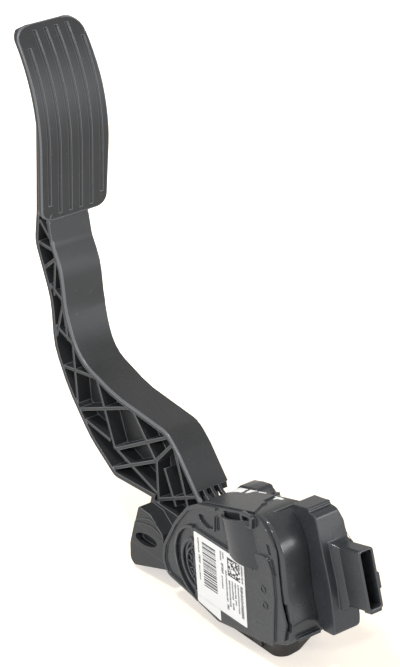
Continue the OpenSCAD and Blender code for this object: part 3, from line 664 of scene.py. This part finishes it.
def carved(mesh, corners):  # a copy of the mesh with its corners cut round
    body = bpy.data.objects.new("carved", mesh.copy())
    bpy.context.scene.collection.objects.link(body)
    tools = [cornerCutter(**corner) for corner in corners]
    for tool in tools:
        bpy.context.scene.collection.objects.link(tool)
        cut = body.modifiers.new("corner", "BOOLEAN")
        cut.operation = "DIFFERENCE"
        cut.solver = "EXACT"
        cut.object = tool
    result = bpy.data.meshes.new_from_object(body.evaluated_get(bpy.context.evaluated_depsgraph_get()))
    for spent in [body] + tools:
        bpy.data.objects.remove(spent)
    return result


def mould(name, made):
    mesh = nodes[name].data
    if "corners" in made:
        mesh = carved(mesh, made["corners"])
    build = bmesh.new()
    build.from_mesh(mesh)
    build.faces.layers.float.new("wornAndSheen")
    bmesh.ops.remove_doubles(build, verts=build.verts, dist=rounding["merge"] * mm)
    for rim in made.get("rims", ()):
        line = rounded(rim["along"])[1:-1] if "along" in rim else None
        roundEdges(build, rim["edge"], rim["steps"], lambda side: onRim(side, rim, line))
    roundEdges(build, made["edge"], rounding["steps"], lambda side: True)
    for plate in made.get("infill", ()):
        addPrism(build, rounded(plate["outline"]), plate["low"], plate["high"])
    piece = newPiece(name + "_moulding", build, made["body"], slots[name])
    evened = piece.modifiers.new("even shading", "WEIGHTED_NORMAL")
    evened.keep_sharp = True
    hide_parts(name)


for name, made in mouldings.items():
    mould(name, made)
print("mouldings made")


# Return springs: round wire with closed turns at each end

springs = {
    "return_spring_outer": {"radius": 9.0, "wire": 0.95},
    "return_spring_inner": {"radius": 5.6, "wire": 0.7},
}
springSeat = {
    "foot": (13.3, -41, 2),
    "lean": 15.6,  # towards the rear, in degrees
    "length": 39.0,
    "openTurns": 6,
    "closedTurns": 1.5,
    "closedPitch": 2.05,  # of the wire's radius, so that closed turns nearly touch
    "kept": 0.71,  # of the length, at full travel
    "perTurn": 32,
    "sides": 10,
}


def springHeight(turn, wire, seat):  # closed turns lie on each other, open turns share the rest
    closed = seat["closedTurns"]
    pitch = seat["closedPitch"] * wire
    rise = seat["length"] - 2 * wire - 2 * closed * pitch
    if turn < closed:
        return wire + turn * pitch
    if turn > closed + seat["openTurns"]:
        return seat["length"] - wire - (2 * closed + seat["openTurns"] - turn) * pitch
    return wire + closed * pitch + rise * (turn - closed) / seat["openTurns"]


def makeSpring(name, spring, seat):
    sides, wire = seat["sides"], spring["wire"]
    lean = Matrix.Rotation(math.radians(-seat["lean"]), 4, "X")
    foot = fromPivot(*seat["foot"])
    turns = seat["openTurns"] + 2 * seat["closedTurns"]
    build = bmesh.new()
    loops = []
    for i in range(int(turns * seat["perTurn"]) + 1):
        turn = i / seat["perTurn"]
        angle = 2 * math.pi * turn
        height = springHeight(turn, wire, seat)
        loop = []
        for k in range(sides):
            around = 2 * math.pi * k / sides
            reach = spring["radius"] + wire * math.cos(around)
            place = Vector((reach * math.cos(angle), reach * math.sin(angle),
                            height + wire * math.sin(around)))
            loop.append(build.verts.new(foot + lean @ (place * mm)))
        loops.append(loop)
    for before, after in zip(loops, loops[1:]):
        for k in range(sides):
            m = (k + 1) % sides
            build.faces.new((before[k], before[m], after[m], after[k]))
    build.faces.new(list(reversed(loops[0])))
    build.faces.new(loops[-1])
    bmesh.ops.recalc_face_normals(build, faces=build.faces)
    piece = newPiece(name + "_wire", build, "housing", "spring_steel", sharpFrom=60)
    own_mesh(piece)
    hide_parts(name)


for name, spring in springs.items():
    makeSpring(name, spring, springSeat)
print("springs made")


# Label print: plain bars, a block of squares and a row of stripes, with no words

labelPrint = {
    "corner": (4, 18.5),  # the label's upper rear corner, about the pivot
    "face": -0.2,
    "thickness": 0.02,
    "finish": {
        "dark": (0.025, 0.025, 0.03), "light": (0.02875, 0.02875, 0.0345), "wornAndSheen": (0.025, 0.025, 0.03),
        "roughness": 0.45, "edge": 0.05, "wearAndSheen": 0, "bump": 0.02,
    },
    # Each column of dashes: its place across and down from that corner, its width and length
    "columns": [(3.2, 2.5, 1.4, 9), (3.3, 13, 1.9, 4.5), (3.3, 19.5, 1.1, 9), (24, 1.8, 1.5, 6),
                (26.2, 1.8, 1.5, 4), (24.6, 9, 2.3, 6), (24.4, 17, 1.3, 8), (28.2, 12, 1.5, 19),
                (28.3, 33, 2.2, 3), (30.9, 17, 1.6, 16), (33.6, 16.4, 1.6, 11), (33.6, 30, 1.6, 4),
                (36.2, 16.4, 1.4, 9), (36.2, 27, 1.4, 3), (38.9, 16.2, 1.4, 18), (41.4, 16, 2.5, 19.5),
                (43, 3, 1.6, 10.5)],
    "dashHeight": (0.45, 0.75),
    "dashShare": (0.7, 1),  # of the column's width
    "dashGap": (0.2, 0.4),
    "block": {"at": (30.7, 2.8), "cells": 14, "cell": 0.8, "filled": 0.55},
    "stripes": {"at": (7.4, 3.6), "length": 27.5, "width": 12.4, "heights": (0.35, 0.35, 0.7, 1.0),
                "gaps": (0.4, 0.4, 0.75)},
    "seed": 7,
}


def printedBars(made):  # every bar's place across and down the label, and its width and height
    bars = []
    chance = random.Random(made["seed"])
    for across, down, wide, long in made["columns"]:
        reach = down
        while reach < down + long:
            high = chance.uniform(*made["dashHeight"])
            share = chance.uniform(*made["dashShare"])
            bars.append((across + wide * (1 - share) * chance.random(), reach, wide * share, high))
            reach += high + chance.uniform(*made["dashGap"])
    block = made["block"]
    cell = block["cell"]
    for i in range(block["cells"]):
        for k in range(block["cells"]):
            if i == 0 or k == block["cells"] - 1 or chance.random() < block["filled"]:
                bars.append((block["at"][0] + i * cell, block["at"][1] + k * cell, cell, cell))
    stripes = made["stripes"]
    down = 0
    while down < stripes["length"]:
        high = chance.choice(stripes["heights"])
        bars.append((stripes["at"][0], stripes["at"][1] + down, stripes["width"], high))
        down += high + chance.choice(stripes["gaps"])
    return bars


def makePrint(made):
    build = bmesh.new()
    right, top = made["corner"]
    for across, down, wide, high in printedBars(made):
        y, z = right - across, top - down
        outline = ((y, z), (y - wide, z), (y - wide, z - high), (y, z - high))
        addPrism(build, outline, made["face"] - made["thickness"], made["face"])
    newPiece("label_print", build, "housing", "label", plastic("label_ink", made["finish"]))


makePrint(labelPrint)
print("label printed")


# The label's tail, down to the cover's lower edge

labelTail = {
    "outline": ((4, -21.3, 0), (4.2, -25.4, 1.5), (-17.4, -28.5, 0.4), (-17.4, -21.3, 0)),
    "face": -0.2,
    "back": -0.05,
}


def makeTail(made):
    build = bmesh.new()
    addPrism(build, rounded(made["outline"]), made["face"], made["back"])
    newPiece("label_tail", build, "housing", "label")


makeTail(labelTail)


# Rings and spokes moulded round the pivot, cut short where the label covers them, and two plain rings

rings = {
    "centre": (0, -2.5),
    "bands": [{"inner": 15.2, "outer": 17.2, "rise": 0.8}, {"inner": 10.9, "outer": 12.2, "rise": 0.8},
              {"inner": 22.6, "outer": 24.2, "rise": 0.5}],
    "bandSteps": 36,
    "spokes": {"count": 5, "turns": (-50, 50), "reach": (7, 11.2), "halfWidth": 0.45, "rise": 0.5},
    "root": 1.0,  # how far bands and spokes go down into the cover, in mm
    "cutAt": 4.4,  # where the label's rear edge is, about the pivot
    "marks": {"centres": ((-58.5, 10), (-59.5, 0.5)), "inner": 1.5, "outer": 2.3, "steps": 20,
              "rise": 0.45, "root": 0.5},
    "edge": 0.2,
}


def addBand(build, made, band):
    reach = math.acos(min(1, (made["cutAt"] - made["centre"][0]) / band["inner"]))
    outline = (arc(made["centre"], band["outer"], -reach, reach, made["bandSteps"])
               + arc(made["centre"], band["inner"], reach, -reach, made["bandSteps"]))
    addPrism(build, outline, -band["rise"], made["root"])


def addSpoke(build, made, turn):
    spoke = made["spokes"]
    y0, z0 = made["centre"]
    along = Vector((math.cos(turn), math.sin(turn)))
    across = Vector((-along.y, along.x)) * spoke["halfWidth"]
    near, far = (along * reach for reach in spoke["reach"])
    corners = [near - across, far - across, far + across, near + across]
    outline = [(max(made["cutAt"], y0 + corner.x), z0 + corner.y) for corner in corners]
    addPrism(build, outline, -spoke["rise"], made["root"])


def makeRings(made):
    build = bmesh.new()
    for band in made["bands"]:
        addBand(build, made, band)
    spokes = made["spokes"]
    start, end = spokes["turns"]
    for i in range(spokes["count"]):
        addSpoke(build, made, math.radians(start + (end - start) * i / (spokes["count"] - 1)))
    marks = made["marks"]
    for centre in marks["centres"]:
        outer = circle(centre, marks["outer"], marks["steps"])
        inner = circle(centre, marks["inner"], marks["steps"])
        addRing(build, outer, inner, -marks["rise"], marks["root"])
    bmesh.ops.recalc_face_normals(build, faces=build.faces)
    soften(build, made["edge"])
    newPiece("pivot_rings", build, "housing", "housing_plastic")


makeRings(rings)


# Skin of the heel block: its left face round an oval recess, with curved flow lines above

heelSkin = {
    "face": ((72.5, -7.4), (78.2, -21.6), (41.6, -21.6), (43.6, -7.4)),
    "oval": {"centre": (61.5, -14.2), "reach": (11.5, 4.0), "lean": 0.2, "steps": 44},
    "low": 4.95,  # the face, and how far in its edges go, from the label face
    "high": 7.4,
    "lines": [((70.2, -4.6), (66, -2.2), (61, 0), (55, 1.6), (49, 0.4)),
              ((72, -6.6), (66, -4.9), (60, -3.2), (53, -2.2), (45.2, -4.2))],
    "lineWidth": 0.5,
    "lineRise": 0.35,
    "lineRoot": 0.4,
}


def edgeTowards(outline, centre, way):  # where a ray from the centre leaves an outline
    rayLength = 200
    far = centre + way * rayLength
    for i in range(len(outline)):
        hit = geometry.intersect_line_line_2d(centre, far, Vector(outline[i - 1]), Vector(outline[i]))
        if hit:
            return hit
    return far


def addFlowLine(build, made, line):
    low, high = made["low"] - made["lineRise"], made["low"] + made["lineRoot"]
    for start, end in zip(line, line[1:]):
        start, end = Vector(start), Vector(end)
        side = (end - start).orthogonal().normalized() * made["lineWidth"] / 2
        addPrism(build, (start - side, end - side, end + side, start + side), low, high)


def makeHeelSkin(made):
    build = bmesh.new()
    oval = made["oval"]
    centre = Vector(oval["centre"])
    turn = Matrix.Rotation(-oval["lean"], 2)
    # Rays go out evenly all round, and one more to each corner of the face
    corners = [math.atan2(*(Vector(corner) - centre).yx) for corner in made["face"]]
    angles = sorted([2 * math.pi * i / oval["steps"] - math.pi for i in range(oval["steps"])] + corners)
    inner, outer = [], []
    for angle in angles:
        way = Vector((math.cos(angle), math.sin(angle)))
        local = turn.transposed() @ way
        reach = 1 / math.hypot(local.x / oval["reach"][0], local.y / oval["reach"][1])
        inner.append(centre + way * reach)
        outer.append(edgeTowards(made["face"], centre, way))
    addRing(build, outer, inner, made["low"], made["high"])
    for line in made["lines"]:
        addFlowLine(build, made, line)
    bmesh.ops.recalc_face_normals(build, faces=build.faces)
    newPiece("heel_skin", build, "arm", "arm_plastic")


makeHeelSkin(heelSkin)


# Domed hump behind the hood, over the sensor side's bearing lug

hump = {
    "outline": ((10, 20, 0), (8.5, 30, 4), (2, 36.2, 6), (-6, 38.6, 6), (-14, 40.2, 2.5), (-16.5, 36, 2),
                (-17, 28, 0)),
    "low": 29.5,
    "high": 41.5,
    "edge": 2.2,
    "steps": 5,
    "turned": 1,  # the edges that turn more than this are softened, in radians
}


def makeHump(made):
    build = bmesh.new()
    addPrism(build, rounded(made["outline"]), made["low"], made["high"])
    soften(build, made["edge"], made["steps"], made["turned"])
    newPiece("hood_hump", build, "housing", "housing_plastic")


makeHump(hump)
print("cover and hood details made")


# White paint dabs along the hood's far edge: outlines of (x, y) places on its plate or on the hood itself

paintDabs = {
    "hoodTop": (-1, 37),  # the hood's rear end, about the pivot
    "slope": math.tan(math.radians(15.6)),
    "sunk": 0.1,
    "thickness": 0.25,
    "edge": 0.12,
    "lifts": {"onPlate": 1.0, "onHood": 0.0},
    "onPlate": [((17.8, -4.2), (22, -4.2), (24.4, -4.6), (25.9, -5.2), (25.9, -12.3), (24.3, -12.1),
                 (22.6, -13.2), (20.6, -12.8), (20.9, -10.3), (19.7, -6.9)),
                ((20.9, -16.6), (23.4, -15.4), (25.9, -14.6), (25.9, -21.5), (24.9, -19.2), (22.6, -18.5)),
                ((24.9, -23.4), (25.9, -22.4), (25.9, -29.6), (25.2, -29.2))],
    "onHood": [((25.2, -37.6), (25.9, -37.3), (25.9, -40.2), (25.3, -39.6)),
               ((22.1, -40.3), (24.0, -39.4), (25.9, -38.9), (25.9, -42.8), (24.9, -46.8), (23.5, -45.2),
                (23.8, -42.4))],
    "finish": {
        "dark": (0.86, 0.86, 0.85), "light": (0.93, 0.93, 0.92), "wornAndSheen": (0.8, 0.8, 0.78),
        "roughness": 0.35, "wearAndSheen": 0, "scuffs": 0, "bump": 0.1, "dust": 0,
    },
}


def onSlope(made, x, y, lift):  # a place above or below the hood's sloping top
    y0, z0 = made["hoodTop"]
    return fromPivot(x, y, z0 + (y0 - y) * made["slope"] + lift)


def makeDabs(made):
    build = bmesh.new()
    for key, lift in made["lifts"].items():
        for outline in made[key]:
            low = [onSlope(made, x, y, lift - made["sunk"]) for x, y in outline]
            high = [onSlope(made, x, y, lift + made["thickness"]) for x, y in outline]
            addSolid(build, low, high)
    soften(build, made["edge"])
    newPiece("paint_dabs", build, "housing", "housing_plastic", plastic("dab_paint", made["finish"]))


makeDabs(paintDabs)
print("paint dabs made")
